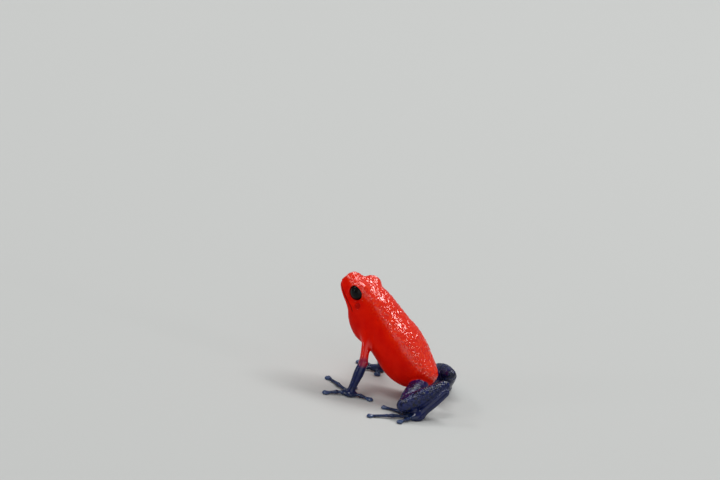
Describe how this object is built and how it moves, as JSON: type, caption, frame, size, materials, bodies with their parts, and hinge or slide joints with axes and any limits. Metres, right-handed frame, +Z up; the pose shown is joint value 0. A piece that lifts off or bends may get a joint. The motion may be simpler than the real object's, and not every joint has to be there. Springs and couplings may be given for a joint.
{
  "type": "strawberry poison dart frog",
  "caption": "Strawberry poison dart frog with a scarlet body and dark blue limbs, sitting raised on its arms, as a still life-size animal model.",
  "frame": {"origin": "middle of the floor under the whole model, where the hands and feet rest", "axes": "the frog faces -Y, its left side is +X, +Z is up"},
  "size_m": [0.024, 0.0216, 0.0163],
  "materials": {
    "red_skin": "wet scarlet skin with fine grain and small dark specks",
    "blue_skin": "wet dark blue skin with black mottling",
    "eye": "glossy near-black eye"
  },
  "bodies": {
    "root": {"head": "red_skin", "torso": "red_skin", "eye_left": "eye", "eye_right": "eye", "upper_arm_left": "red_skin", "upper_arm_right": "red_skin", "forearm_left": "blue_skin", "forearm_right": "blue_skin", "hand_left": "blue_skin", "hand_right": "blue_skin", "finger_1_left": "blue_skin", "finger_2_left": "blue_skin", "finger_3_left": "blue_skin", "finger_4_left": "blue_skin", "finger_1_right": "blue_skin", "finger_2_right": "blue_skin", "finger_3_right": "blue_skin", "finger_4_right": "blue_skin", "thigh_left": "blue_skin", "thigh_right": "blue_skin", "shank_left": "blue_skin", "shank_right": "blue_skin", "tarsus_left": "blue_skin", "tarsus_right": "blue_skin", "foot_left": "blue_skin", "foot_right": "blue_skin", "toe_1_left": "blue_skin", "toe_2_left": "blue_skin", "toe_3_left": "blue_skin", "toe_4_left": "blue_skin", "toe_5_left": "blue_skin", "toe_1_right": "blue_skin", "toe_2_right": "blue_skin", "toe_3_right": "blue_skin", "toe_4_right": "blue_skin", "toe_5_right": "blue_skin"}
  },
  "joints": []
}
